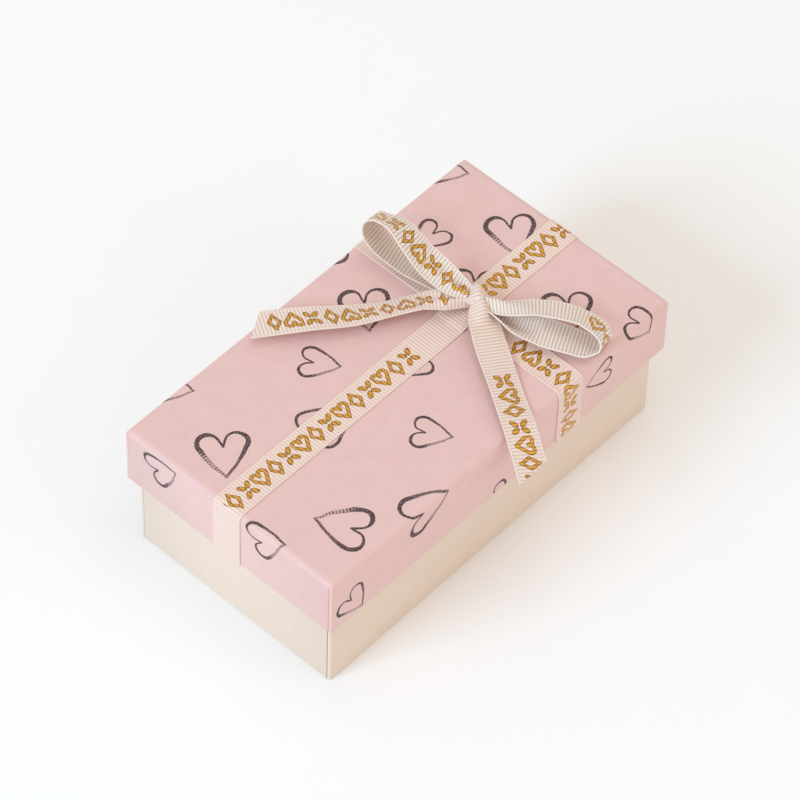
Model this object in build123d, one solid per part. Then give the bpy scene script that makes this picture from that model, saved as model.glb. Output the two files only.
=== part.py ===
from build123d import *
import math
import os

# Rigid paper-covered gift box for jewellery: tray base, foam insert, lift-off lid, ribbon and bow.
#
# Millimetres. The origin is the centre of the base's underside. +X runs along the length,
# +Y across the width and +Z up. The lid is closed, and its bow is tied over the crossed ribbons.

# Lid and base, outside sizes over the paper
lid_length = 145.0
lid_width = 81.5
box_height = 50.5           # floor to the top of the closed lid
lid_depth = 22.0            # lid's outside height
board = 1.5                 # greyboard wall
paper = 0.2                 # wrap and lining paper
tape = 0.12                 # paper tape that holds each board corner
tape_leg = 10.0             # tape's reach along each wall
lid_clearance = 0.7         # between the lid's inner paper and the base's outer paper, each side
lid_top_round = 2.0         # lid's upper edges, over the paper
base_foot_round = 0.6       # base's lower edges, over the paper
upright_round = 0.6         # vertical corners, over the paper
base_turn_in = 15.0         # wrap turned over the base's rim and glued inside
lid_turn_in = 12.0          # wrap turned under the lid's rim and glued inside

# Insert
insert_height = 25.0
insert_clearance = 0.4      # insert to the base's lining, each side
velvet = 0.6
slit_depth = 12.0
slit_width = 1.5
ring_slit_length = 30.0
earring_slit_length = 8.0
earring_offset = 38.0       # earring slits' centres from the middle, along the length
chain_notch_inset = 9.0     # chain notches' centres from the insert's short sides
chain_notch_length = 5.0    # how far a notch runs in from the long side

# Ribbon
ribbon_width = 10.5
ribbon = 0.4                # ribbon thickness
ribbon_turn_in = 15.0       # ribbon end turned under the lid's rim and glued inside
cross_x = 28.5              # centre of the ribbon that runs across the lid
crossing_ramp = 3.0         # length over which the long ribbon climbs onto the other

# Bow, with reaches measured from the knot's centre and heights from the lid's top
knot_x = 29.5
knot_y = -0.5
knot_length = 9.0           # along the lid's length
knot_width = 8.0
knot_height = 6.0
knot_round = 2.0
gather_length = 14.0        # over which a ribbon widens from the knot to its full width
cut_slant = 5.0             # slant of a tail's cut end
bow_clearance = 0.6         # loops and tails above the crossed ribbons

# Each heading is an angle from +X, anticlockwise seen from above. A loop leans when its roll,
# an angle about its heading, isn't zero.
back_loop_heading = 97.5
back_loop_reach = 38.0
back_loop_height = 16.5
back_loop_roll = 15.0
right_loop_heading = -68.0
right_loop_reach = 42.5
right_loop_height = 10.0
right_loop_roll = -18.0
left_tail_heading = 141.5
left_tail_reach = 66.0
left_tail_rise = 2.6        # how far it stands off at the knot
left_tail_lift = 1.6        # and at its free end
left_tail_bend = 60.0
front_tail_heading = -120.0
front_tail_reach = 63.0
front_tail_rise = 3.4       # how far it stands off at the knot
front_tail_droop = 5.0      # how far the free end hangs below the lid's top
front_tail_bends = [60.0, 20.0]

# Values that follow from the sizes above
wall = paper + tape + board + paper          # from the outer paper's face to the inner paper's face
panel = paper + board + paper                # the same through a top or bottom panel
base_height = box_height - panel
base_length = lid_length - 2 * (wall + lid_clearance)
base_width = lid_width - 2 * (wall + lid_clearance)
insert_length = base_length - 2 * (wall + insert_clearance)
insert_width = base_width - 2 * (wall + insert_clearance)
insert_top = panel + insert_height
lid_rim = box_height - lid_depth
bow_seat = 2 * ribbon                        # top of the crossed ribbons above the lid

floor_up = (Align.CENTER, Align.CENTER, Align.MIN)


def block(length, width, bottom, top, upright=0.0, upper=0.0, lower=0.0):
    """Upright block centred on the origin's axis, with its edges rounded where a radius is given."""
    body = Pos(0, 0, bottom) * Box(length, width, top - bottom, align=floor_up)
    if upright:
        body = fillet(body.edges().filter_by(Axis.Z), upright)
    if upper:
        body = fillet(body.faces().sort_by(Axis.Z)[-1].edges(), upper)
    if lower:
        body = fillet(body.faces().sort_by(Axis.Z)[0].edges(), lower)
    return body


# --- Base: board tray, corner tapes, paper wrap and lining ---

def base_skin(inset, bottom, top):
    """The base's outline, inset from its outer paper, with roundings that stay concentric."""
    return block(base_length - 2 * inset, base_width - 2 * inset, bottom, top,
                 upright=max(upright_round - inset, 0), lower=max(base_foot_round - inset, 0))


def base_cavity(inset, bottom, top):
    """Block as large as the base's hollow between walls that are inset deep, over the paper."""
    return block(base_length - 2 * inset, base_width - 2 * inset, bottom, top)


board_top = base_height - paper


def base_board():
    return (base_skin(paper + tape, paper, board_top)
            - base_cavity(wall - paper, paper + board, board_top))


def base_wrap():
    skin = base_skin(0, 0, base_height) - base_skin(paper, paper, board_top)
    turned = (base_cavity(wall - paper, base_height - base_turn_in, board_top)
              - base_cavity(wall, base_height - base_turn_in, board_top))
    return skin - base_cavity(wall, board_top, base_height) + turned


def base_lining():
    top = base_height - base_turn_in
    return (base_cavity(wall - paper, panel - paper, top)
            - base_cavity(wall, panel, top))


def corner_tapes(length, width, bottom, top):
    """Four tapes over a tray's vertical corners, length by width over their outsides."""
    rounding = upright_round - paper
    sleeve = (block(length, width, bottom, top, upright=rounding)
              - block(length - 2 * tape, width - 2 * tape, bottom, top, upright=rounding - tape))
    reach = 2 * (tape_leg + tape)
    tapes = []
    for side_x in (-1, 1):
        for side_y in (-1, 1):
            corner = Pos(side_x * length / 2, side_y * width / 2, bottom)
            tapes += (sleeve & corner * Box(reach, reach, top - bottom, align=floor_up)).solids()
    return Compound(children=tapes)


def base_corner_tapes():
    return corner_tapes(base_length - 2 * paper, base_width - 2 * paper,
                        paper + base_foot_round, board_top)


# --- Insert: foam block with slits, in a velvet cover that is open underneath ---

def insert_cuts(bottom):
    """Slits for a ring and a pair of earrings, and notches that hold a chain, cut from the top down."""
    cuts = []
    depth = insert_top - bottom
    slit = Box(ring_slit_length, slit_width, depth, align=floor_up)
    cuts.append(Pos(0, 0, bottom) * slit)
    for side in (-1, 1):
        short = Box(slit_width, earring_slit_length, depth, align=floor_up)
        cuts.append(Pos(side * earring_offset, 0, bottom) * short)
        for edge in (-1, 1):
            notch = Box(slit_width, chain_notch_length, depth,
                        align=(Align.CENTER, Align.MIN if edge < 0 else Align.MAX, Align.MIN))
            place = Pos(side * (insert_length / 2 - chain_notch_inset), edge * insert_width / 2, bottom)
            cuts.append(place * notch)
    return cuts


def insert_foam():
    foam = block(insert_length - 2 * velvet, insert_width - 2 * velvet, panel, insert_top - velvet)
    return foam - insert_cuts(insert_top - slit_depth)


def insert_velvet():
    cover = block(insert_length, insert_width, panel, insert_top, upright=velvet, upper=velvet)
    hollow = block(insert_length - 2 * velvet, insert_width - 2 * velvet, panel, insert_top - velvet)
    return cover - hollow - insert_cuts(insert_top - slit_depth)


# --- Lid: board tray turned over, corner tapes, paper wrap and lining ---

def lid_skin(inset, bottom, top):
    """The lid's outline, inset from its outer paper, with roundings that stay concentric."""
    return block(lid_length - 2 * inset, lid_width - 2 * inset, bottom, top,
                 upright=max(upright_round - inset, 0), upper=max(lid_top_round - inset, 0))


def lid_cavity(inset, bottom, top):
    return block(lid_length - 2 * inset, lid_width - 2 * inset, bottom, top)


def lid_board():
    top = box_height - paper
    return (lid_skin(paper + tape, lid_rim + paper, top)
            - lid_cavity(wall - paper, lid_rim + paper, top - board))


def lid_wrap():
    skin = lid_skin(0, lid_rim, box_height) - lid_skin(paper, lid_rim + paper, box_height - paper)
    turned_top = lid_rim + lid_turn_in
    turned = (lid_cavity(wall - paper, lid_rim + paper, turned_top)
              - lid_cavity(wall, lid_rim + paper, turned_top))
    return skin - lid_cavity(wall, lid_rim, lid_rim + paper) + turned


def lid_lining():
    bottom = lid_rim + lid_turn_in
    ceiling = box_height - panel
    return (lid_cavity(wall - paper, bottom, ceiling + paper)
            - lid_cavity(wall, bottom, ceiling))


def lid_corner_tapes():
    return corner_tapes(lid_length - 2 * paper, lid_width - 2 * paper,
                        lid_rim + paper, box_height - lid_top_round)


# --- Ribbons: one along the lid and one across it, turned under the rim at both ends ---

def ribbon_round_lid(span, lid_cross_section):
    """Ribbon along +X over a lid that is span long, with both ends glued inside the rim."""
    inside = span / 2 - wall
    outer = Pos(0, 0, lid_rim - ribbon) * Box(span + 2 * ribbon, ribbon_width,
                                              lid_depth + 2 * ribbon, align=floor_up)
    top_edges = outer.faces().sort_by(Axis.Z)[-1].edges().filter_by(Axis.Y)
    outer = fillet(top_edges, lid_top_round + ribbon)
    band = outer - lid_cross_section
    band -= Pos(0, 0, lid_rim - ribbon) * Box(2 * (inside - ribbon), ribbon_width, ribbon, align=floor_up)
    for side in (-1, 1):
        band += Pos(side * (inside - ribbon / 2), 0, lid_rim - ribbon) * Box(
            ribbon, ribbon_width, ribbon + ribbon_turn_in, align=floor_up)
    return band


def lid_section(span):
    """The lid's outline in the plane of a ribbon, as wide as the ribbon."""
    body = Pos(0, 0, lid_rim) * Box(span, 2 * ribbon_width, lid_depth, align=floor_up)
    return fillet(body.faces().sort_by(Axis.Z)[-1].edges().filter_by(Axis.Y), lid_top_round)


def ribbon_cross():
    band = ribbon_round_lid(lid_width, lid_section(lid_width))
    return Pos(cross_x, 0, 0) * Rot(0, 0, 90) * band


def ribbon_length():
    """The long ribbon, which climbs over the other one where they cross."""
    band = ribbon_round_lid(lid_length, lid_section(lid_length))
    flat = cross_x - ribbon_width / 2, cross_x + ribbon_width / 2
    foot = flat[0] - crossing_ramp, flat[1] + crossing_ramp
    top = box_height
    band -= Pos((foot[0] + foot[1]) / 2, 0, top) * Box(foot[1] - foot[0], ribbon_width, ribbon,
                                                       align=floor_up)
    under = [(foot[0], top), (flat[0], top + ribbon), (flat[1], top + ribbon), (foot[1], top)]
    over = [(x, z + ribbon) for x, z in reversed(under)]
    outline = make_face(Plane.XZ * Polyline(*under, *over, close=True))
    return band + extrude(outline, amount=ribbon_width / 2, both=True)


# --- Bow: knot, two loops and two tails ---

def bow_knot():
    lump = Pos(knot_x, knot_y, box_height + bow_seat) * Box(knot_length, knot_width, knot_height,
                                                            align=floor_up)
    lower = lump.faces().sort_by(Axis.Z)[0].edges()
    return fillet([e for e in lump.edges() if e not in lower], knot_round)


def bow_band(heading, profile, reach, slant=0.0, roll=0.0):
    """Ribbon that leaves the knot at a heading, with its edge-on profile in reaches and heights.

    Its width grows from the knot over the gather length, and slant cuts a free end askew.
    """
    half = ribbon_width / 2
    band = Rot(90, 0, 0) * extrude(profile, amount=half, both=True)
    outline = Polyline((0, 0), (gather_length, -half), (reach, -half),
                       (reach - slant, half), (gather_length, half), close=True)
    trim = extrude(make_face(outline), amount=box_height, both=True)
    place = Pos(knot_x, knot_y, box_height) * Rot(0, 0, heading) * Rot(roll, 0, 0)
    return place * (band & trim) - bow_knot()


def loop_profile(reach, height, low):
    """Teardrop band: a round tip, and two strands that close in on the knot."""
    tip = (height - low) / 2
    outlines = []
    for inset in (0, ribbon):
        outlines.append(make_hull([
            CenterArc((0, low + knot_round), knot_round - inset, 0, 360),
            CenterArc((reach - tip, low + tip), tip - inset, 0, 360)]))
    return outlines[0] - outlines[1]


def loop_low(roll):
    """Height of a loop's lower strand that keeps its lower edge clear of the crossed ribbons."""
    return bow_seat + bow_clearance + ribbon_width / 2 * math.sin(math.radians(abs(roll)))


def bow_loop_back():
    profile = loop_profile(back_loop_reach, back_loop_height, loop_low(back_loop_roll))
    return bow_band(back_loop_heading, profile, back_loop_reach, roll=back_loop_roll)


def bow_loop_right():
    profile = loop_profile(right_loop_reach, right_loop_height, loop_low(right_loop_roll))
    return bow_band(right_loop_heading, profile, right_loop_reach, roll=right_loop_roll)


def tail_profile(points, bends):
    """Band one ribbon thick above a bent line, which runs out past the tail's cut end."""
    line = FilletPolyline(*points, radius=bends)
    return make_face(line.offset_2d(ribbon, side=Side.LEFT, closed=True))


def bow_tail_left():
    low = bow_seat + bow_clearance
    points = [(0, low + left_tail_rise), (0.25 * left_tail_reach, low + 2.2),
              (0.55 * left_tail_reach, low + 1.0), (left_tail_reach + 1, low + left_tail_lift)]
    profile = tail_profile(points, [left_tail_bend, left_tail_bend])
    return bow_band(left_tail_heading, profile, left_tail_reach, cut_slant)


def bow_tail_front():
    low = bow_seat + bow_clearance
    edge = (lid_width / 2 + knot_y) / math.sin(math.radians(-front_tail_heading))
    points = [(0, low + front_tail_rise), (0.5 * edge, low + 0.6), (edge, low),
              (front_tail_reach + 1, -front_tail_droop)]
    profile = tail_profile(points, front_tail_bends)
    return bow_band(front_tail_heading, profile, front_tail_reach, cut_slant)


makers = [base_board, base_corner_tapes, base_wrap, base_lining, insert_foam, insert_velvet,
          lid_board, lid_corner_tapes, lid_wrap, lid_lining, ribbon_length, ribbon_cross,
          bow_knot, bow_loop_back, bow_loop_right, bow_tail_left, bow_tail_front]

os.makedirs("parts", exist_ok=True)
for maker in makers:
    export_step(maker(), f"parts/{maker.__name__}.step")
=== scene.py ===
import math

import bmesh
import bpy
from mathutils import Matrix, Vector


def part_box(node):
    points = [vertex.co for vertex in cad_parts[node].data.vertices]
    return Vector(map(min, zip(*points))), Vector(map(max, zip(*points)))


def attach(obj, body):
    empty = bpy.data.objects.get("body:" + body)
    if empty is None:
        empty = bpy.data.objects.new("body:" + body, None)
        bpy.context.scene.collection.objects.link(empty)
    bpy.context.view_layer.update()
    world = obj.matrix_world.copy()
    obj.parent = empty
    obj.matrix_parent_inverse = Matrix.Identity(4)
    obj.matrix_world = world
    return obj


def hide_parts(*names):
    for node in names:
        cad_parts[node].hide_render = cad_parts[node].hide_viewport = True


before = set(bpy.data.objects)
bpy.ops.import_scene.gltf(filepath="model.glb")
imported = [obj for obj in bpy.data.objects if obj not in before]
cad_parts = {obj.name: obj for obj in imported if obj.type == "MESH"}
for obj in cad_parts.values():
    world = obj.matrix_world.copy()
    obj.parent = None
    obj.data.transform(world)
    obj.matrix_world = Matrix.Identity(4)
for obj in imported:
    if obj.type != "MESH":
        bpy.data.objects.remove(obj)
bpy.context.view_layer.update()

mm = 0.001

# --- Camera, floor and studio light ---
# The closed box is seen through a long lens from above its front left corner. It stands on a plain
# white table. A large cool lamp on its left lights it, with weaker warm ones in front and overhead,
# and so does the white room around it.

view_azimuth, view_elevation, view_roll = (math.radians(a) for a in (-48.874, 51.491, 2.018))
view_distance = 1370.07 * mm
view_aim = Vector((5.394, 4.468, 25.0)) * mm

backward = Vector((math.sin(view_azimuth) * math.cos(view_elevation),
                   -math.cos(view_azimuth) * math.cos(view_elevation),
                   math.sin(view_elevation)))
camera_data = bpy.data.cameras.new("camera")
camera_data.sensor_width = 36
camera_data.lens = 208.633
camera_data.clip_end = 10
camera = bpy.data.objects.new("camera", camera_data)
camera.matrix_world = (Matrix.Translation(view_aim + view_distance * backward)
                       @ backward.to_track_quat("Z", "Y").to_matrix().to_4x4()
                       @ Matrix.Rotation(view_roll, 4, "Z"))
bpy.context.scene.collection.objects.link(camera)
bpy.context.scene.camera = camera
bpy.context.scene.view_settings.view_transform = "Standard"

world = bpy.data.worlds.new("white_room")
world.use_nodes = True
world.node_tree.nodes["Background"].inputs["Color"].default_value = (1.0, 0.955, 0.89, 1)
world.node_tree.nodes["Background"].inputs["Strength"].default_value = 0.69
bpy.context.scene.world = world


def soft_lamp(name, place, size, watts, colour):
    """Square lamp that faces the middle of the box."""
    data = bpy.data.lights.new(name, "AREA")
    data.size, data.energy, data.color = size, watts, colour
    lamp = bpy.data.objects.new(name, data)
    lamp.matrix_world = (Matrix.Translation(place)
                         @ (Vector(place) - view_aim).to_track_quat("Z", "Y").to_matrix().to_4x4())
    bpy.context.scene.collection.objects.link(lamp)


soft_lamp("key", (-1.75, 0.35, 1.15), 0.9, 23.0, (0.54, 0.78, 1.0))
soft_lamp("fill", (0.60, -1.70, 0.85), 1.2, 3.4, (1.0, 0.98, 0.95))
soft_lamp("overhead", (0.30, -0.20, 2.20), 1.4, 5.8, (1.0, 0.93, 0.88))


def arithmetic(operation, swapped=False):
    """Method of Wire that adds a Math node. swapped is for the reflected form, as in 1 - wire."""
    def apply(self, *other):
        return self.math(operation, *((*other, self) if swapped else (self, *other)))
    return apply


class Wire:
    """Socket of a node tree. Arithmetic on it adds Math nodes, and make() adds any other node."""

    def __init__(self, tree, socket=None):
        self.tree, self.socket = tree, socket

    def make(self, kind, settings, sockets, out=0):
        """Adds a node: its settings first, then its sockets' values or links. Gives its output."""
        node = self.tree.nodes.new(kind)
        for key, value in settings.items():
            setattr(node, key, value)
        for key, value in sockets.items():
            if isinstance(value, Wire):
                self.tree.links.new(value.socket, node.inputs[key])
            else:
                node.inputs[key].default_value = value
        return Wire(self.tree, node.outputs[out])

    def math(self, operation, *terms):
        return self.make("ShaderNodeMath", {"operation": operation}, dict(enumerate(terms)))

    __add__, __radd__ = arithmetic("ADD"), arithmetic("ADD", swapped=True)
    __sub__, __rsub__ = arithmetic("SUBTRACT"), arithmetic("SUBTRACT", swapped=True)
    __mul__, __rmul__ = arithmetic("MULTIPLY"), arithmetic("MULTIPLY", swapped=True)
    __truediv__ = arithmetic("DIVIDE")
    __abs__ = arithmetic("ABSOLUTE")
    __gt__, __lt__ = arithmetic("GREATER_THAN"), arithmetic("LESS_THAN")
    smaller = arithmetic("MINIMUM")

    def clamp(self):
        return self.math("MINIMUM", self.math("MAXIMUM", self, 0.0), 1.0)

    def sine(self):
        return self.math("SINE", self)

    def fraction(self):
        """What is left of this after its whole part."""
        return self.math("FRACT", self)

    def step(self, low, high):
        """0 up to low and 1 from high on, with a smooth rise between them. High may be under low."""
        start, end, values = (low, high, (0, 1)) if low < high else (high, low, (1, 0))
        return self.make("ShaderNodeMapRange", {"interpolation_type": "SMOOTHSTEP"},
                         {0: self, 1: start, 2: end, 3: values[0], 4: values[1]})

    def mix(self, low, high):
        """Colour that goes from low to high as this goes from 0 to 1."""
        return self.make("ShaderNodeMix", {"data_type": "RGBA"},
                         {0: self, 6: low if isinstance(low, Wire) else (*low, 1),
                          7: high if isinstance(high, Wire) else (*high, 1)}, out=2)

    def tint(self, colour):
        """This colour times another."""
        return self.make("ShaderNodeMix", {"data_type": "RGBA", "blend_type": "MULTIPLY"},
                         {0: 1.0, 6: self, 7: colour}, out=2)

    def noise(self, scale, detail=3, roughness=0.5):
        """Noise, 0 to 1, over this vector."""
        return self.make("ShaderNodeTexNoise", {"noise_dimensions": "3D"},
                         {"Vector": self, "Scale": scale, "Detail": detail, "Roughness": roughness})

    def bump(self, strength, distance):
        """Normal from this height."""
        return self.make("ShaderNodeBump", {}, {"Height": self, "Strength": strength,
                                                "Distance": distance})


class Finish:
    """Material with one Principled shader. constants go straight on that shader's sockets."""

    def __init__(self, name, **constants):
        self.material = bpy.data.materials.new(name)
        self.material.use_nodes = True
        self.tree = self.material.node_tree
        self.shader = self.tree.nodes["Principled BSDF"]
        for socket, value in constants.items():
            self.shader.inputs[socket.replace("_", " ")].default_value = value

    def place(self):
        """Object coordinates, in metres."""
        return Wire(self.tree).make("ShaderNodeTexCoord", {}, {}, out="Object")

    def drive(self, **wires):
        for socket, wire in wires.items():
            self.tree.links.new(wire.socket, self.shader.inputs[socket.replace("_", " ")])


table_finish = Finish("white_table", Roughness=0.7)
table_grain = table_finish.place().noise(60)
table_finish.drive(Base_Color=table_grain.mix((0.985, 0.975, 0.97), (0.995, 0.985, 0.98)))
table_mesh = bpy.data.meshes.new("table")
table_half = 4.0
table_mesh.from_pydata([(x * table_half, y * table_half, 0) for x, y in
                        ((-1, -1), (1, -1), (1, 1), (-1, 1))], [], [(0, 1, 2, 3)])
table_mesh.materials.append(table_finish.material)
table = bpy.data.objects.new("table", table_mesh)
bpy.context.scene.collection.objects.link(table)

# --- Base: greyboard tray ---
# The tray is scored and folded from one sheet of 1.5 mm greyboard made of pulped waste paper. The
# wrap and the lining hide it, so only its grey flecked edge could ever show.


def dress(node, finish):
    """Gives a CAD node its material."""
    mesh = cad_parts[node].data
    mesh.materials.clear()
    mesh.materials.append(finish.material)


greyboard = Finish("greyboard", Roughness=0.92)
flecks = greyboard.place().noise(900, detail=4, roughness=0.7)
greyboard.drive(Base_Color=flecks.step(0.35, 0.7).mix((0.30, 0.285, 0.26), (0.45, 0.43, 0.39)),
                Normal=flecks.bump(0.4, 0.1 * mm))
dress("base_board", greyboard)

# --- Base: corner tapes ---
# Gummed kraft paper tape, glued round each upright corner of the tray to hold the folds closed
# before the tray is wrapped.

kraft = Finish("kraft_tape", Roughness=0.7)
kraft_fibre = kraft.place().make("ShaderNodeMapping", {}, {0: kraft.place(), 3: (1, 1, 0.15)}).noise(1400)
kraft.drive(Base_Color=kraft_fibre.mix((0.36, 0.24, 0.13), (0.52, 0.37, 0.23)),
            Normal=kraft_fibre.bump(0.3, 0.05 * mm))
dress("base_corner_tapes", kraft)

# --- Base: cream wrap paper ---
# One sheet of cream pearl paper, glued over the tray from below. At each corner the long side's
# paper turns onto the short side and the short side's flap is laid over it, which leaves a fine
# seam beside the corner. The top edge is turned over the rim and glued down inside.

paper = 0.2 * mm                 # thickness of every wrap and lining paper
wall = 2.02 * mm                 # outer paper's face to inner paper's face
seam_inset = 1.2 * mm            # corner to the edge of the short side's flap
seam_step = 0.12 * mm            # how deep the paper beside the flap lies
seam_gap = 0.06 * mm             # breadth of the flap's cut edge
seam_points = 9                  # points of a wrap's profile that the seam runs over, down the wall
rim_round = 0.35 * mm            # paper where it turns over the board's edge
corner_round = 0.6 * mm          # upright corners over the paper
flush = 0.01 * mm                # nearer than this to the outer face counts as on it
corner_steps = 5
base_foot_round = 0.6 * mm
base_turn_in = 15 * mm


def fillet(centre, radius, start, end, steps=6):
    """Points (inset, depth) on a round edge, from one angle in degrees to another."""
    angles = [math.radians(start + (end - start) * k / steps) for k in range(steps + 1)]
    return [(centre[0] - radius * math.cos(a), centre[1] - radius * math.sin(a)) for a in angles]


def wrap_profile(edge_round, depth, turn_in):
    """Closed line that a wrap follows from the middle of the panel to its edge, down the wall, over
    the rim, up inside and back within the paper: (inset from the outer face, depth) pairs."""
    flat = 0.5 * mm
    outside = [(edge_round + flat, 0)] + fillet((edge_round, edge_round), edge_round, 90, 0)
    rim = (fillet((rim_round, depth - rim_round), rim_round, 0, -90, 3)
           + fillet((wall - rim_round, depth - rim_round), rim_round, -90, -180, 3))
    turned = [(wall, depth - turn_in), (wall - paper, depth - turn_in)]
    inner_round = max(edge_round - paper, 0.1 * mm)
    inner = [(wall - paper, depth - paper), (paper, depth - paper)]
    back = fillet((paper + inner_round, paper + inner_round), inner_round, 0, 90)
    return outside + rim + turned + inner + back + [(edge_round + flat, paper)]


def wrap_ring(half_x, half_y, inset, seam_depth):
    """One turn round the box: (x, y, side) points, where side names the face after the point."""
    x, y = half_x - inset, half_y - inset
    radius = min(corner_round, 0.9 * y)
    seam_y = (half_y - seam_inset) * (y - radius) / (half_y - radius)
    points = []
    for turn, (sx, sy) in enumerate(((1, 1), (-1, 1), (-1, -1), (1, -1))):
        arc = [math.radians(90 * k / corner_steps) for k in range(corner_steps + 1)]
        if turn % 2:
            arc.reverse()
        corner = [(sx * (x - radius - seam_depth + radius * math.cos(a)),
                   sy * (y - radius + radius * math.sin(a))) for a in arc]
        around = [(*p, "long") for p in corner]
        beside_flap = (sx * (x - seam_depth), sy * (seam_y + seam_gap))
        flap_edge = (sx * x, sy * seam_y)
        if turn % 2:
            points += around + [(*beside_flap, "gap"), (*flap_edge, "end")]
        else:
            points += [(*flap_edge, "gap"), (*beside_flap, "long")] + around
    return points


def wrapped_tray(name, low, high, profile, upward):
    """Paper sheet folded round a tray, as a closed mesh. Its UV map holds the flat sheet's own
    coordinates in millimetres, from the middle of the panel. upward says that the panel is on top."""
    half_x, half_y = (high.x - low.x) / 2, (high.y - low.y) / 2
    mesh = bmesh.new()
    flat_map = mesh.loops.layers.uv.new("sheet")
    rings, travel = [], -profile[0][0]
    for k, (inset, depth) in enumerate(profile):
        if k:
            travel += math.dist(profile[k - 1], profile[k])
        recess = seam_step if k <= seam_points and inset < flush else 0
        z = high.z - depth if upward else low.z + depth
        ring = wrap_ring(half_x, half_y, inset, recess)
        rings.append(([mesh.verts.new((x, y, z)) for x, y, side in ring], [p[2] for p in ring], travel))

    def spread(corner, side, reach):
        x, y = corner.co.x, corner.co.y
        if side == "panel":
            return x / mm, y / mm
        if side == "long":
            return x / mm, math.copysign(half_y + reach, y) / mm
        return math.copysign(half_x + reach, x) / mm, y / mm

    def add_face(corners, side, reaches):
        face = mesh.faces.new(corners)
        face.smooth = side != "gap"
        for loop, reach in zip(face.loops, reaches):
            loop[flat_map].uv = spread(loop.vert, side, reach)

    for (upper, sides, reach), (lower, _, next_reach) in zip(rings, rings[1:]):
        for k, side in enumerate(sides):
            j = (k + 1) % len(upper)
            add_face((upper[k], lower[k], lower[j], upper[j]), side,
                     (reach, next_reach, next_reach, reach))
    for ring, _, reach in (rings[0], rings[-1]):
        add_face(ring, "panel", [reach] * len(ring))
    bmesh.ops.recalc_face_normals(mesh, faces=mesh.faces)
    data = bpy.data.meshes.new(name)
    mesh.to_mesh(data)
    mesh.free()
    return data


def add_piece(name, mesh, finish, body, replaced):
    """Puts a mesh in the scene as a piece of the object, in place of a CAD node."""
    mesh.materials.clear()
    mesh.materials.append(finish.material)
    piece = bpy.data.objects.new(name, mesh)
    bpy.context.scene.collection.objects.link(piece)
    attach(piece, body)
    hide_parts(replaced)
    return piece


def paper_grain(finish):
    """Height of pressed paper: fine fibres under a soft mottle."""
    place = finish.place()
    return place.noise(2600, detail=3, roughness=0.6) * 0.6 + place.noise(420) * 0.4


def flap_glue_and_shade(finish, high, strength):
    """Darkness along the cut edge of each flap: glue that has soaked into the paper, and painted shade of the
    gap beside the flap.
    """
    x, y = (finish.place().make("ShaderNodeSeparateXYZ", {}, {0: finish.place()}, out=k) for k in (0, 1))
    end_face = high.x / mm
    beside = abs(abs(y) / mm - (high.y - seam_inset) / mm)
    return beside.step(0.24, 0.06) * (abs(x) / mm).step(end_face - 0.5, end_face - 0.3) * strength


cream = Finish("cream_paper", Roughness=0.52, Specular_IOR_Level=0.35)
cream_mottle = cream.place().noise(260, detail=5, roughness=0.65)
base_low, base_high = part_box("base_wrap")
cream_stock = cream_mottle.step(0.3, 0.7).mix((0.815, 0.660, 0.543), (0.835, 0.680, 0.565))
# The cream paper is darker along each flap's cut edge: soaked-in glue, and painted shade of the gap beside
# it.
cream.drive(Base_Color=flap_glue_and_shade(cream, base_high, 0.85).mix(cream_stock, (0.36, 0.28, 0.22)),
            Normal=paper_grain(cream).bump(0.25, 0.05 * mm))
base_profile = wrap_profile(base_foot_round, base_high.z - base_low.z, base_turn_in)
base_sheet = wrapped_tray("base_wrap_paper", base_low, base_high, base_profile, upward=False)
add_piece("base_wrap_paper", base_sheet, cream, "base", "base_wrap")

# --- Base: lining paper ---
# White uncoated paper glued over the tray's floor and lower walls, up to the edge of the wrap.

white_paper = Finish("white_paper", Roughness=0.8)
white_grain = paper_grain(white_paper)
white_paper.drive(Base_Color=white_grain.mix((0.80, 0.77, 0.72), (0.88, 0.855, 0.81)),
                  Normal=white_grain.bump(0.3, 0.06 * mm))
dress("base_lining", white_paper)

# --- Insert: foam block ---
# Die-cut open-cell foam, with a long slit for a ring, two short ones for earrings and notches in
# its long sides that hold a chain.

foam = Finish("foam", Roughness=0.95)
cells = foam.place().make("ShaderNodeTexVoronoi", {"feature": "F1"},
                          {"Vector": foam.place(), "Scale": 1500.0})
# The pores are darker than the foam round them: painted shade in them.
foam.drive(Base_Color=cells.step(0.1, 0.5).mix((0.60, 0.57, 0.53), (0.84, 0.82, 0.78)),
           Normal=cells.bump(0.6, 0.3 * mm))
dress("insert_foam", foam)

# --- Insert: velvet cover ---
# Short ivory velvet glued over the foam's top and sides. It is pressed into the slits, so its
# surface rolls softly over their lips, and the foam makes it crown a little in the middle.

velvet_thickness = 0.6 * mm
velvet_edge = 2.2 * mm           # soft rounding along the insert's upper edges
velvet_crown = 0.5 * mm
slit_half = 0.75 * mm
slit_lip = 1.6 * mm              # how far from a slit its lip starts to roll
slit_mouth = 0.2 * mm            # half the gap between a slit's lips
slit_dip = 5.5 * mm
ring_slit, earring_slit, earring_offset = 30 * mm, 8 * mm, 38 * mm
notch_inset, notch_length = 9 * mm, 5 * mm

velvet_low, velvet_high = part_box("insert_velvet")
insert_half = Vector((velvet_high.x, velvet_high.y, 0))
slits = [((-ring_slit / 2, 0), (ring_slit / 2, 0))]
for side in (-1, 1):
    slits.append(((side * earring_offset, -earring_slit / 2), (side * earring_offset, earring_slit / 2)))
    for edge in (-1, 1):
        notch_x = side * (insert_half.x - notch_inset)
        slits.append(((notch_x, edge * (insert_half.y - notch_length)), (notch_x, edge * insert_half.y)))


def distance_to_slit(x, y, ends):
    """Distance from a spot to a slit, which runs along X or along Y between its ends."""
    (ax, ay), (bx, by) = ends
    away_x = x - min(max(x, min(ax, bx)), max(ax, bx))
    away_y = y - min(max(y, min(ay, by)), max(ay, by))
    return math.hypot(away_x, away_y)


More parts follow.
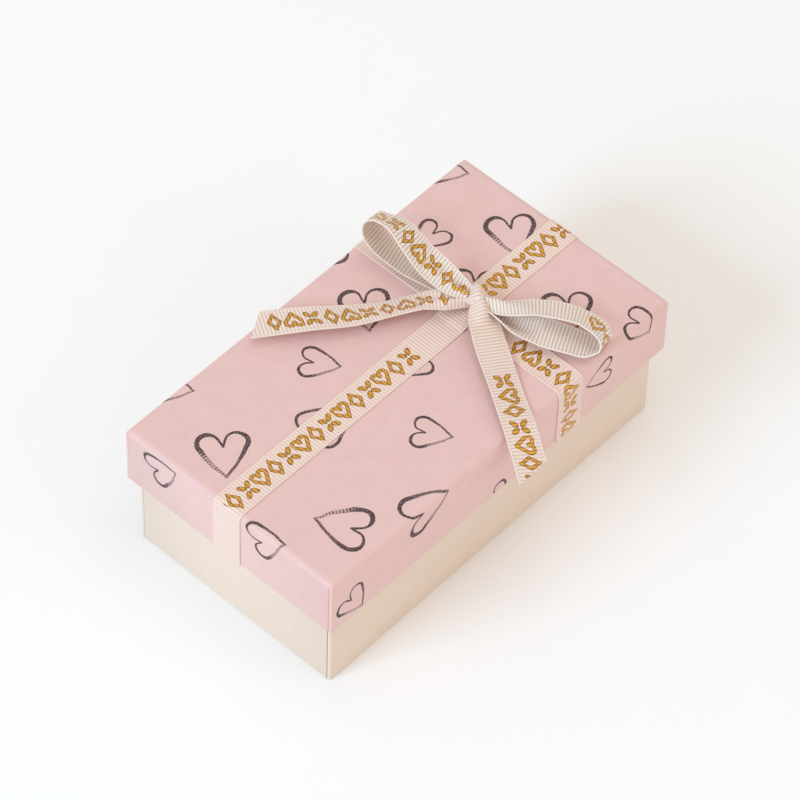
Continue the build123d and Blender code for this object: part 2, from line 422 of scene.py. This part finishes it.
def velvet_height(x, y):
    """Height of the velvet's top over a spot of the insert."""
    z = velvet_high.z - velvet_crown * ((x / insert_half.x) ** 4 + (y / insert_half.y) ** 4) / 2
    for edge in (insert_half.x - abs(x), insert_half.y - abs(y)):
        if edge < velvet_edge:
            z -= velvet_edge - math.sqrt(max(velvet_edge ** 2 - (velvet_edge - edge) ** 2, 0))
    gap = min(distance_to_slit(x, y, ends) for ends in slits)
    if gap < slit_half + slit_lip:
        rise = min(max((gap - slit_mouth) / (slit_half + slit_lip), 0), 1)
        z -= slit_dip * (1 - math.sqrt(1 - (1 - rise) ** 2)) if rise > 0 else slit_dip
    return z


def graded(half, spots, coarse=1.6 * mm, fine=0.35 * mm, near_enough=3 * mm):
    """Grid lines from -half to half: fine near the spots and the edges, and coarse elsewhere."""
    lines, at = [], -half
    while at < half:
        lines.append(at)
        near = min([abs(at - s) for s in spots] + [half - abs(at)])
        at += fine if near < near_enough else coarse
    return lines + [half]


slit_xs = sorted({p[0] for ends in slits for p in ends})
slit_ys = sorted({p[1] for ends in slits for p in ends})
grid_x = graded(insert_half.x, slit_xs)
grid_y = graded(insert_half.y, slit_ys)
velvet_mesh = bmesh.new()
sheet = [[velvet_mesh.verts.new((x, y, velvet_height(x, y))) for y in grid_y] for x in grid_x]
for row, next_row in zip(sheet, sheet[1:]):
    for k in range(len(row) - 1):
        velvet_mesh.faces.new((row[k], next_row[k], next_row[k + 1], row[k + 1]))
rim_edges = [e for e in velvet_mesh.edges if e.is_boundary]
for part in bmesh.ops.extrude_edge_only(velvet_mesh, edges=rim_edges)["geom"]:
    if isinstance(part, bmesh.types.BMVert):
        part.co.z = velvet_low.z
bmesh.ops.recalc_face_normals(velvet_mesh, faces=velvet_mesh.faces)
velvet_data = bpy.data.meshes.new("insert_velvet_cover")
velvet_mesh.to_mesh(velvet_data)
velvet_mesh.free()
velvet_data.shade_smooth()

velvet = Finish("velvet", Roughness=0.85, Sheen_Weight=0.8, Sheen_Roughness=0.4)
pile = velvet.place().noise(1800, detail=4, roughness=0.7)
brushed = velvet.place().noise(45, detail=2)
nap = (pile * 0.5 + brushed * 0.5).step(0.3, 0.7)
velvet.drive(Base_Color=nap.mix((0.70, 0.61, 0.52), (0.86, 0.79, 0.71)), Normal=pile.bump(0.7, 0.3 * mm))
insert_cover = add_piece("insert_velvet_cover", velvet_data, velvet, "insert", "insert_velvet")
thicken = insert_cover.modifiers.new("cloth", "SOLIDIFY")
thicken.thickness, thicken.offset = velvet_thickness, -1

# --- Lid: greyboard tray and corner tapes ---
# The lid is made as the base is: a shallow greyboard tray turned over, its corners taped.

dress("lid_board", greyboard)
dress("lid_corner_tapes", kraft)

# --- Lid: printed wrap paper ---
# Pink matt-coated paper, printed all over with hearts in dark mauve ink. Each heart is drawn as
# with a dry brush: thin at the notch, full round the lobes and broken on the way to the tip.

lid_top_round = 2 * mm
lid_turn_in = 12 * mm

lid_low, lid_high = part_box("lid_wrap")
lid_profile = wrap_profile(lid_top_round, lid_high.z - lid_low.z, lid_turn_in)
lid_sheet = wrapped_tray("lid_wrap_paper", lid_low, lid_high, lid_profile, upward=True)

# Hearts on the flat sheet: centre (millimetres from the panel's middle), the direction from tip
# to notch (degrees from +X) and height. Those beyond the panel's edges fold down the walls.
hearts = [
    (-59.5, 13.8, 50, 15.8), (-54.6, -27.6, -65, 15.8), (-31.7, -41.5, -177, 15.6), (-29.5, 0.4, 176, 16),
    (-15.8, 16.9, 122, 11.9), (-12.5, -24.1, 121, 11.8), (1.2, -2, -10, 12), (7.8, 21, 51, 15.3),
    (41.1, 26.9, -4, 11.7), (58.9, 9.2, 52, 15.3), (35.5, 3, 39, 15.3), (48, -22.6, 48, 15.3),
    (61, -42, 120, 12.1), (41.5, -47.8, 1, 11.2), (-62.9, -55.5, 124, 12), (-1.6, -65.2, 126, 11.8),
    (-77.3, 25.4, 124, 12.4), (-73.9, -15.3, 123, 12.8), (-51.6, 41.3, 121, 11.6), (19.5, 48, -65, 15.6),
    (65.2, 40.1, 121, 11.5), (-24, 52, -35, 13), (40, 56, 95, 12), (-64, 57, 20, 11), (80, -12, -50, 13),
    (82, 20, 140, 12)]


def flat_dot(place, direction):
    """Dot product of a flat place with a fixed direction."""
    return place.make("ShaderNodeVectorMath", {"operation": "DOT_PRODUCT"},
                      {0: place, 1: (*direction, 0)}, out="Value")


def flat_offset(place, origin):
    return place.make("ShaderNodeVectorMath", {"operation": "SUBTRACT"}, {0: place, 1: (*origin, 0)})


def flat_length(place):
    return place.make("ShaderNodeVectorMath", {"operation": "LENGTH"}, {0: place}, out="Value")


def line_distance(place, start, end):
    """Distance from a flat place to the straight stroke between two points."""
    run = Vector(end) - Vector(start)
    offset = flat_offset(place, start)
    share = flat_dot(offset, run / run.length_squared).clamp()
    foot = place.make("ShaderNodeVectorMath", {"operation": "SCALE"}, {0: (*run, 0), "Scale": share})
    return place.make("ShaderNodeVectorMath", {"operation": "DISTANCE"}, {0: offset, 1: foot}, out="Value")


def tangent_point(point, centre, radius, side):
    """Where the tangent from a point touches a circle, on one side of it."""
    away = Vector(centre) - Vector(point)
    angle = math.atan2(away.y, away.x) + side * math.asin(radius / away.length)
    reach = math.sqrt(away.length_squared - radius ** 2)
    return Vector(point) + reach * Vector((math.cos(angle), math.sin(angle)))


def heart_distance(folded, tip, notch, lobe, radius):
    """Distance to a heart's outline. The place has its x folded onto the heart's right half."""
    lobe = Vector(lobe)
    outer, inner = tangent_point(tip, lobe, radius, -1), tangent_point(notch, lobe, radius, 1)
    upward = Vector((inner.y - outer.y, outer.x - inner.x)).normalized()
    from_lobe = flat_offset(folded, lobe)
    arc = abs(flat_length(from_lobe) - radius) + (flat_dot(from_lobe, upward) < (outer - lobe).dot(upward))
    sides = line_distance(folded, tip, outer).smaller(line_distance(folded, notch, inner))
    return arc.smaller(sides)


# A spot near a heart takes that heart's own coordinates: its centre at 0, its height 1. The third one
# is the heart's key. Its whole part is the heart's number, so that each heart wavers in its own way,
# and its fraction is the heart's boldness, so that the larger hearts have the broader strokes. At the
# boldest height itself the fraction comes round to 0, so that heart is drawn with a fine brush.
nowhere = 9.0                    # a place far outside every heart
heart_reach = 0.85               # how far from its centre a heart's coordinates hold
faintest, boldest = 6.0, 16.0    # heights, in millimetres, between which the boldness rises to 1
pink = Finish("printed_pink_paper", Specular_IOR_Level=0.35)
sheet_place = Wire(pink.tree).make("ShaderNodeUVMap", {"uv_map": "sheet"}, {})
heart_place = Wire(pink.tree).make("ShaderNodeCombineXYZ", {}, {0: nowhere, 1: nowhere, 2: 0.0})
for number, (x, y, direction, height) in enumerate(hearts):
    boldness = (height - faintest) / (boldest - faintest)
    local = sheet_place.make("ShaderNodeMapping", {"vector_type": "TEXTURE"},
                             {0: sheet_place, 1: (x, y, -height * (number + boldness)),
                              2: (0, 0, math.radians(direction - 90)), 3: (height, height, height)})
    on_sheet = local.make("ShaderNodeVectorMath", {"operation": "MULTIPLY"}, {0: local, 1: (1, 1, 0)})
    heart_place = local.make("ShaderNodeMix", {"data_type": "VECTOR"},
                             {0: flat_length(on_sheet) < heart_reach, 4: heart_place, 5: local}, out=1)

heart_x, heart_y, heart_key = (heart_place.make("ShaderNodeSeparateXYZ", {}, {0: heart_place}, out=k)
                               for k in range(3))

# The hand wavers, the stroke swells over the lobes, more on the left, and the ink is laid in hatches
# where the brush runs dry down the left side.
wobble = heart_place.noise(2.4, detail=1) - 0.5
drawn_x = heart_x + wobble * 0.07
drawn_y = heart_y + wobble * 0.06
bulge = drawn_y.step(0.3, -0.1) * abs(drawn_x).step(0.02, 0.22) * 0.038
folded = heart_place.make("ShaderNodeCombineXYZ", {}, {0: abs(drawn_x) - bulge, 1: drawn_y, 2: 0.0})
outline = heart_distance(folded, tip=(0, -0.5), notch=(0, 0.19), lobe=(0.257, 0.292), radius=0.208)

boldness = heart_key.fraction()
shoulder = (abs(drawn_x) - drawn_x * 0.28).step(0.08, 0.40)
half_stroke = 0.025 + shoulder * (0.006 + boldness * 0.019)
rough_edge = (sheet_place.noise(3.4, detail=3, roughness=0.75) - 0.5) * 0.04
bristles = sheet_place.noise(2.6, detail=3, roughness=0.75)
hatch = ((drawn_y * 0.85 - drawn_x * 0.53) * 100 + bristles * 5).sine()
left_side = drawn_x.step(0.08, -0.16)
dryness = drawn_y.step(0.22, -0.12) * (0.05 + left_side * 0.11)
coverage = (bristles + hatch * left_side * drawn_y.step(0.2, 0.0) * 0.10 - dryness).step(0.37, 0.43)
stroke = (half_stroke + rough_edge - outline).step(-0.004, 0.005)
ink = stroke * (coverage * 0.66 + 0.34)

pink_mottle = sheet_place.noise(0.16, detail=4, roughness=0.6)
pink_fibres = sheet_place.noise(1.6, detail=4, roughness=0.65)
pink_shade = (pink_mottle * 0.5 + pink_fibres * 0.5).step(0.3, 0.7)
pink_stock = pink_shade.mix((0.79, 0.520, 0.490), (0.84, 0.565, 0.533))
ink_colour = bristles.step(0.35, 0.6).mix((0.16, 0.095, 0.098), (0.036, 0.020, 0.022))
pink_grain = paper_grain(pink)
# The pink paper is darker along each flap's cut edge: soaked-in glue, and painted shade of the gap beside it.
pink_flap_glue_and_shade = flap_glue_and_shade(pink, lid_high, 0.425)
pink.drive(Base_Color=pink_flap_glue_and_shade.mix(ink.mix(pink_stock, ink_colour), (0.40, 0.22, 0.20)),
           Roughness=0.44 + ink * 0.2,
           Normal=(pink_grain + ink * 0.4).bump(0.22, 0.05 * mm))
add_piece("lid_wrap_paper", lid_sheet, pink, "lid", "lid_wrap")

# --- Lid: lining paper ---
# The same white paper as in the base, glued over the lid's ceiling and walls down to the turned-in
# edge of the wrap.

dress("lid_lining", white_paper)

# --- Ribbon: cream grosgrain with foil print ---
# Woven with thick weft cords, so fine ribs cross it between two smooth woven edges. Gold foil is
# pressed onto the ribs of its outer face: hearts, lozenges and four-petalled flowers by turns.

ribbon_width = 10.5 * mm
ribbon_thickness = 0.4 * mm
rib_pitch = 1.1 * mm
rib_depth = 0.12 * mm            # from the top of a rib to the valley beside it
rib_rows = 8                     # rows of the mesh in one rib
woven_edge = 0.42 * mm
half_ribbed = ribbon_width / 2 - woven_edge
border = 0.08 * mm               # breadth of the ribbon's rounded border
woven_step = 0.05 * mm           # half the step from the ribs to the woven edge
motif_pitch = 5.6 * mm
weave_sizes = {"Thickness": ribbon_thickness, "Rib pitch": rib_pitch, "Rib depth": rib_depth,
               "Ribbed half width": half_ribbed}


def weave_tree():
    """Turns a ribbon's middle surface into cloth: two faces with ribs, joined along the border."""
    tree = bpy.data.node_groups.new("grosgrain_weave", "GeometryNodeTree")
    tree.interface.new_socket("Cloth", in_out="INPUT", socket_type="NodeSocketGeometry")
    for name in weave_sizes:
        tree.interface.new_socket(name, in_out="INPUT", socket_type="NodeSocketFloat")
    tree.interface.new_socket("Cloth", in_out="OUTPUT", socket_type="NodeSocketGeometry")
    given = tree.nodes.new("NodeGroupInput").outputs
    cloth = Wire(tree, given["Cloth"])
    thickness, pitch, depth, half_width = (Wire(tree, given[name]) for name in weave_sizes)

    def attribute(name):
        return cloth.make("GeometryNodeInputNamedAttribute", {"data_type": "FLOAT"}, {"Name": name})

    along, across, inner = attribute("along"), attribute("across"), attribute("inner")
    valley = 1 - abs((along / pitch * math.pi).sine())
    ribbed = abs(across) < half_width
    half = (thickness * 0.5 - valley * depth * ribbed) * inner
    normal = cloth.make("GeometryNodeInputNormal", {}, {})
    faces = []
    for side in (1, -1):
        offset = cloth.make("ShaderNodeVectorMath", {"operation": "SCALE"}, {0: normal, "Scale": half * side})
        face = cloth.make("GeometryNodeSetPosition", {}, {"Geometry": cloth, "Offset": offset})
        face = cloth.make("GeometryNodeStoreNamedAttribute", {"data_type": "FLOAT", "domain": "POINT"},
                          {"Geometry": face, "Name": "outside", "Value": float(side)})
        if side < 0:
            face = cloth.make("GeometryNodeFlipFaces", {}, {"Mesh": face})
        faces.append(face)
    join = tree.nodes.new("GeometryNodeJoinGeometry")
    for face in faces:
        tree.links.new(face.socket, join.inputs[0])
    whole = cloth.make("GeometryNodeMergeByDistance", {},
                       {"Geometry": Wire(tree, join.outputs[0]), "Distance": 0.001 * mm})
    whole = cloth.make("GeometryNodeSetShadeSmooth", {}, {"Geometry": whole, "Shade Smooth": True})
    result = tree.nodes.new("NodeGroupOutput")
    tree.links.new(whole.socket, result.inputs["Cloth"])
    return tree


grosgrain = Finish("grosgrain", Roughness=0.62, Sheen_Weight=0.25, Sheen_Roughness=0.45,
                   Specular_IOR_Level=0.3)


def ribbon_attribute(name):
    return Wire(grosgrain.tree).make("ShaderNodeAttribute", {"attribute_name": name}, {}, out="Fac")


along, across = ribbon_attribute("along") / mm, ribbon_attribute("across") / mm
rib = abs((along * (math.pi / (rib_pitch / mm))).sine())
ribbed = 1 - abs(across).step((half_ribbed - woven_step) / mm, (half_ribbed + woven_step) / mm)
threads = grosgrain.place().noise(3200, detail=2)
warp = (across * 22).sine() * 0.5 + 0.5

# Foil motifs sit three to a repeat. Each gives its distance in millimetres, under 0 inside it.
repeat = 3 * motif_pitch / mm
heart_size = 5.6
foil_line = 0.62                 # half the breadth of the foil heart's line
petal_middle = (1.15, 1.55)
spot = (along / repeat).fraction() * repeat
heart_spot, lozenge_spot, flower_spot = (spot - (k + 0.5) * motif_pitch / mm for k in range(3))
small_heart = spot.make("ShaderNodeCombineXYZ", {},
                        {0: abs(heart_spot) / heart_size, 1: across / heart_size, 2: 0.0})
heart_foil = heart_distance(small_heart, tip=(0, -0.5), notch=(0, 0.17), lobe=(0.245, 0.23),
                            radius=0.215) * heart_size - foil_line
lozenge_ring = abs(abs(lozenge_spot) * 0.82 + abs(across) * 0.50 - 1.40) - 0.52
flower = spot.make("ShaderNodeCombineXYZ", {}, {0: abs(flower_spot), 1: abs(across), 2: 0.0})
petal_along = flat_dot(flat_offset(flower, petal_middle), (0.60, 0.80)) * 0.62
petal_across = flat_dot(flat_offset(flower, petal_middle), (0.80, -0.60)) * 1.05
petal_squares = petal_along * petal_along + petal_across * petal_across
petals = petal_squares.math("SQRT", petal_squares) - 0.92
foil_distance = heart_foil.smaller(lozenge_ring).smaller(petals)
printed = ribbon_attribute("printed") * ribbon_attribute("outside").step(0.4, 0.6)
worn = grosgrain.place().noise(1500, detail=3, roughness=0.7)
foil = (foil_distance + (worn - 0.5) * 0.25).step(0.05, -0.05) * printed
foil_edge = abs(foil_distance + 0.10).step(0.18, 0.05)

# The rib valleys are painted darker, as shade, and less so where a stretch lies on the pink paper.
valley_yarn_and_shade = ribbon_attribute("backed_painted_light").mix((0.50, 0.39, 0.31), (0.76, 0.59, 0.50))
yarn_and_valley_shade = (rib.step(0.0, 0.85) * 0.8 + threads * 0.2).mix(valley_yarn_and_shade, (0.945, 0.82, 0.732))
woven_yarn = threads.mix((0.88, 0.75, 0.66), (0.95, 0.83, 0.75))
# A stretch that lies on the pink paper takes a painted pink light, as if the paper shone through the cloth.
pink_through_light = ribbon_attribute("backed_painted_light").mix((1.0, 1.0, 1.0), (0.97, 0.875, 0.86))
cloth_colour_and_light = ribbed.mix(woven_yarn, yarn_and_valley_shade).tint(pink_through_light)
# The foil is darker down the rib valleys: painted shade, mixed with real wear.
gold = (worn * 0.45 + rib * 0.55).step(0.1, 0.9).mix((0.36, 0.15, 0.02), (0.92, 0.47, 0.075))
gold = (foil_edge * 0.8).mix(gold, (0.17, 0.07, 0.012))
grosgrain.drive(Base_Color=foil.mix(cloth_colour_and_light, gold), Metallic=foil * 0.55,
                Roughness=0.62 - foil * 0.24,
                Normal=(warp * 0.15 * ribbed + threads * 0.35 + foil * 0.3).bump(0.35, 0.06 * mm))
weave = weave_tree()


def ribbon_path(stations, steps=30):
    """Dense (middle, half width vector) pairs on a smooth curve through a few stations of the ribbon:
    (middle in millimetres, the way across, breadth in millimetres)."""
    points = [(Vector(middle) * mm, Vector(way).normalized() * breadth * mm / 2)
              for middle, way, breadth in stations]
    dense = []
    for k in range(len(points) - 1):
        a, b, c, d = (points[min(max(k + j, 0), len(points) - 1)] for j in (-1, 0, 1, 2))
        for n in range(steps):
            t = n / steps
            weights = (-t ** 3 / 2 + t ** 2 - t / 2, 1.5 * t ** 3 - 2.5 * t ** 2 + 1,
                       -1.5 * t ** 3 + 2 * t ** 2 + t / 2, t ** 3 / 2 - t ** 2 / 2)
            dense.append(tuple(sum((w * p[j] for w, p in zip(weights, (a, b, c, d))), Vector())
                               for j in range(2)))
    return dense + [points[-1]]


def ribbon_columns(count):
    """Places across a ribbon, -1 to 1: its border, its woven edges and evenly between them."""
    half = ribbon_width / 2
    edge = [half, half - border, half_ribbed + woven_step]
    inside = half_ribbed - woven_step
    between = [inside * (2 * k / count - 1) for k in range(count + 1)]
    return [p / half for p in [-e for e in edge] + between + edge[::-1]]


def make_ribbon(name, path, node, printed=(), slant=0.0, pleats=1.5, phase=0.0,
                columns=14, backed_painted_light=0.0):
    """Ribbon that follows a path, in place of a CAD node. Where it is narrower than it was woven, it
    lies in pleats. printed holds the stretches with foil, in millimetres from its start. slant is how
    far its far end is cut askew. The last argument gives how much painted pink light it takes, as if
    the paper under it shone through the cloth, and how much paler the painted shade in its rib valleys is."""
    lengths = [0.0]
    for (p, _), (q, _) in zip(path, path[1:]):
        lengths.append(lengths[-1] + (q - p).length)
    total = lengths[-1]
    row_step = rib_pitch / rib_rows
    rows = int(total / row_step) + 1
    at_end = 1e-7                # nearer than this to an end counts as on it
    least_step = 1e-9            # stands in for the step between two points at one place
    mesh = bmesh.new()
    layers = {key: mesh.verts.layers.float.new(key)
              for key in ("along", "across", "inner", "printed", "backed_painted_light")}
    places = ribbon_columns(columns)
    grid, k = [], 0
    for row in range(rows + 1):
        line = []
        for place in places:
            last = total - abs(slant) * (1 - (place if slant > 0 else -place)) / 2
            s = min(row * row_step, last)
            while k < len(lengths) - 2 and lengths[k + 1] < s:
                k += 1
            while k > 0 and lengths[k] > s:
                k -= 1
            share = (s - lengths[k]) / max(lengths[k + 1] - lengths[k], least_step)
            middle = path[k][0].lerp(path[k + 1][0], share)
            across = path[k][1].lerp(path[k + 1][1], share)
            tangent = path[min(k + 1, len(path) - 1)][0] - path[k][0]
            normal = tangent.cross(across).normalized()
            chord = 2 * across.length
            pleat = chord / (math.pi * pleats) * math.sqrt(max(ribbon_width / chord - 1, 0))
            lifted = normal * pleat * math.sin(math.pi * pleats * place + phase)
            vert = mesh.verts.new(middle + across * place + lifted)
            vert[layers["along"]] = s
            vert[layers["across"]] = place * ribbon_width / 2
            vert[layers["inner"]] = float(abs(place) < 1 and at_end < s < last - at_end)
            cell = (math.floor(s / motif_pitch) + 0.5) * motif_pitch
            vert[layers["printed"]] = float(any(a * mm <= cell <= b * mm for a, b in printed))
            vert[layers["backed_painted_light"]] = backed_painted_light
            line.append(vert)
        grid.append(line)
    for line, next_line in zip(grid, grid[1:]):
        for j in range(len(line) - 1):
            mesh.faces.new((line[j], next_line[j], next_line[j + 1], line[j + 1]))
    touching = 0.002 * mm
    bmesh.ops.remove_doubles(mesh, verts=mesh.verts, dist=touching)
    bmesh.ops.dissolve_degenerate(mesh, edges=mesh.edges, dist=touching)
    middle_data = bpy.data.meshes.new(name + "_middle")
    mesh.to_mesh(middle_data)
    mesh.free()
    draft = bpy.data.objects.new(name + "_draft", middle_data)
    bpy.context.scene.collection.objects.link(draft)
    weaving = draft.modifiers.new("weave", "NODES")
    weaving.node_group = weave
    for item in weave.interface.items_tree:
        if item.name in weave_sizes:
            weaving[item.identifier] = weave_sizes[item.name]
    evaluated = draft.evaluated_get(bpy.context.evaluated_depsgraph_get())
    woven = bpy.data.meshes.new_from_object(evaluated)
    bpy.data.objects.remove(draft)
    woven.name = name
    piece = add_piece(name, woven, grosgrain, "lid", node)


# --- Ribbon across the lid ---
# Laid over the lid's width under the other ribbon. Both ends turn in under the rim and are glued
# to the inside of the wall.

cross_low, cross_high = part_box("ribbon_cross")
lid_top = lid_high.z / mm
lid_rim = lid_low.z / mm
ribbon_turn_in = 15.0
lift = ribbon_thickness / mm / 2


def round_corner(before, corner, after, radius, steps=6):
    """Points of the arc that rounds a corner of a flat line."""
    a, b = (Vector(before) - Vector(corner)).normalized(), (Vector(after) - Vector(corner)).normalized()
    half = a.angle(b) / 2
    centre = Vector(corner) + (a + b).normalized() * radius / math.sin(half)
    start = Vector(corner) + a * radius / math.tan(half) - centre
    turn = (Vector(corner) + b * radius / math.tan(half) - centre).angle_signed(start)
    return [tuple(centre + Matrix.Rotation(turn * k / steps, 2) @ start) for k in range(steps + 1)]


def over_lid(span, hump=()):
    """Middle line of a ribbon round the lid, as (run, height) points in millimetres: up inside one
    wall, round the rim, over the top with a hump where it climbs, and down and in at the far wall."""
    side, inside = span / 2 + lift, span / 2 - wall / mm - lift
    low, high = lid_rim - lift, lid_top + lift
    tight, soft = 0.45, lid_top_round / mm + lift
    climb = 3                    # number of the corner before the hump
    corners = [(-inside, lid_rim + ribbon_turn_in), (-inside, low), (-side, low), (-side, high)]
    corners += [(-x, z) for x, z in reversed(corners)]
    line = [corners[0]]
    for k in range(1, len(corners) - 1):
        radius = soft if corners[k][1] == high else tight
        line += round_corner(corners[k - 1], corners[k], corners[k + 1], radius)
        if k == climb:
            line += hump
    return line + [corners[-1]]


cross_x = (cross_low.x + cross_high.x) / 2 / mm
cross_line = over_lid(lid_high.y / mm * 2)
cross_path = [(Vector((cross_x, y, z)) * mm, Vector((-1, 0, 0)) * ribbon_width / 2)
              for y, z in cross_line]
make_ribbon("ribbon_across_lid", cross_path, "ribbon_cross",
            printed=[(16, 64)], columns=6, backed_painted_light=1.0)

# --- Ribbon along the lid ---
# Laid over the lid's length and over the other ribbon, which lifts it a little where they cross.

hump_half, ledge, ramp = ribbon_width / mm / 2, 1.0, 3.0
hump = [(cross_x + x, lid_top + lift + z) for x, z in
        ((-hump_half - ramp, 0), (-hump_half - ledge, 2 * lift),
         (hump_half + ledge, 2 * lift), (hump_half + ramp, 0))]
length_line = over_lid(lid_high.x / mm * 2, hump)
length_path = [(Vector((x, 0, z)) * mm, Vector((0, 1, 0)) * ribbon_width / 2) for x, z in length_line]
make_ribbon("ribbon_along_lid", length_path, "ribbon_length",
            printed=[(42, 120), (148, 183)], columns=6, backed_painted_light=1.0)

# --- Bow: two loops and two tails ---
# A third length of the same ribbon, tied round the crossing. Its stations are set out from the
# middle of the lid's top: where the ribbon's middle lies, which way its breadth runs and how
# broad it is. It is pinched into pleats where it enters the knot.


def above_lid(stations, outward=1):
    """Path over the lid. outward is -1 where the foiled face lies to the other side of the ways."""
    return ribbon_path([((x, y, lid_top + z), outward * Vector(way), breadth)
                        for (x, y, z), way, breadth in stations])


back_loop = above_lid([
    ((30.2, 0.6, 4.9), (0.97, 0.20, -0.15), 4.6), ((29.6, 8.2, 5.9), (0.98, 0.18, 0.05), 8.6),
    ((28.1, 16.0, 10.0), (0.97, 0.25, 0.00), 10.5), ((27.8, 22.0, 14.0), (0.96, 0.20, -0.18), 10.5),
    ((28.2, 27.5, 15.9), (0.89, 0.14, -0.43), 10.5), ((27.1, 33.2, 15.9), (0.81, 0.22, -0.54), 10.5),
    ((26.0, 36.0, 14.6), (0.88, 0.22, -0.42), 10.5), ((25.2, 35.7, 11.4), (0.93, 0.24, -0.29), 10.5),
    ((25.4, 32.2, 7.6), (0.94, 0.25, -0.20), 10.5), ((26.6, 27.8, 4.5), (0.91, 0.36, -0.19), 10.5),
    ((28.6, 20.5, 2.4), (0.96, 0.24, -0.12), 10.5), ((29.6, 12.1, 1.9), (1.0, 0.08, 0.04), 8.6),
    ((29.8, 5.5, 2.8), (0.98, 0.06, 0.18), 5.2), ((29.8, 0.6, 3.0), (0.98, 0.06, 0.10), 4.6)],
    outward=-1)
make_ribbon("bow_loop_far", back_loop, "bow_loop_back",
            printed=[(2, 38)])

right_loop = above_lid([
    ((30.6, -2.6, 4.4), (0.60, 0.76, -0.25), 5.4), ((32.2, -6.8, 5.4), (0.60, 0.74, -0.30), 7.4),
    ((34.3, -11.5, 6.2), (0.61, 0.68, -0.40), 9.8), ((38.0, -17.5, 7.4), (0.68, 0.61, -0.41), 10.5),
    ((41.8, -24.4, 8.2), (0.75, 0.56, -0.37), 10.5), ((44.2, -30.5, 8.4), (0.79, 0.47, -0.41), 10.5),
    ((45.5, -36.0, 7.2), (0.85, 0.32, -0.42), 10.5), ((45.1, -39.2, 5.2), (0.81, 0.25, -0.53), 10.5),
    ((43.2, -39.6, 3.2), (0.78, 0.38, -0.48), 10.5), ((41.2, -36.3, 2.5), (0.86, 0.48, -0.16), 10.5),
    ((38.4, -30.6, 3.2), (0.89, 0.46, -0.01), 10.5), ((35.0, -23.7, 4.1), (0.90, 0.43, 0.08), 10.5),
    ((32.4, -16.7, 3.2), (0.95, 0.30, -0.12), 9.4), ((31.4, -10.0, 3.1), (0.92, 0.20, -0.30), 7.2),
    ((30.6, -2.6, 3.0), (0.90, 0.18, -0.25), 5.4)])
make_ribbon("bow_loop_near", right_loop, "bow_loop_right",
            printed=[(36, 46)], pleats=1.0, phase=math.pi / 2)

left_tail = above_lid([
    ((30.5, 0.0, 3.2), (0.50, 0.84, -0.18), 4.6), ((27.0, 2.3, 3.9), (0.55, 0.81, -0.20), 5.6),
    ((23.6, 5.2, 4.6), (0.61, 0.75, -0.28), 8.8), ((19.0, 9.5, 4.1), (0.56, 0.72, -0.41), 10.5),
    ((9.3, 16.1, 2.9), (0.45, 0.79, -0.41), 10.5), ((0.0, 22.3, 3.3), (0.41, 0.89, -0.20), 10.5),
    ((-9.0, 29.4, 3.9), (0.47, 0.87, -0.12), 10.5), ((-22.1, 40.7, 2.6), (0.57, 0.82, -0.10), 10.5)],
    outward=-1)
make_ribbon("bow_tail_far", left_tail, "bow_tail_left",
            printed=[(4, 62)], slant=5 * mm, backed_painted_light=0.6)

front_tail = above_lid([
    ((31.2, -1.8, 4.2), (0.90, -0.20, -0.32), 6.4), ((29.9, -3.9, 5.6), (0.90, -0.22, -0.36), 7.0),
    ((27.6, -6.9, 5.2), (0.88, -0.29, -0.36), 8.8), ((25.1, -10.4, 3.9), (0.88, -0.36, -0.30), 10.5),
    ((21.0, -16.5, 2.9), (0.88, -0.43, -0.20), 10.5), ((13.3, -29.0, 1.9), (0.86, -0.42, -0.26), 10.5),
    ((6.3, -40.3, 1.3), (0.85, -0.46, -0.20), 10.5), ((1.7, -48.2, -2.0), (0.83, -0.50, -0.24), 10.5),
    ((-2.7, -55.5, -5.2), (0.84, -0.47, -0.26), 10.5)])
make_ribbon("bow_tail_near", front_tail, "bow_tail_front",
            printed=[(28, 72)], slant=-7 * mm, pleats=1.0, phase=math.pi / 2, backed_painted_light=0.6)

# --- Bow: knot ---
# The middle of the bow's ribbon, arched over its breadth, goes once round the strands and holds
# them down on the crossing.

knot_turns = 20
knot_centre, knot_heading = Vector((31.4, -1.7, lid_top + 3.6)), math.radians(-134)
knot_out, knot_up = 3.4, 2.2
knot_breadth, knot_flare = 6.4, 0.8      # it is broader on top than below
knot_way = Vector((math.cos(knot_heading), math.sin(knot_heading), 0))
knot_across = Vector((0.72, -0.68, -0.12))
knot_path = []
for k in range(knot_turns + 1):
    angle = 2 * math.pi * k / knot_turns - math.pi / 2
    middle = (knot_centre + knot_way * knot_out * math.cos(angle)
              + Vector((0, 0, knot_up)) * math.sin(angle))
    knot_path.append((middle, knot_across, knot_breadth + knot_flare * math.sin(angle)))
make_ribbon("bow_knot_wrap", ribbon_path(knot_path, steps=6), "bow_knot",
            pleats=1.0, phase=-math.pi / 2, columns=20, backed_painted_light=0.6)
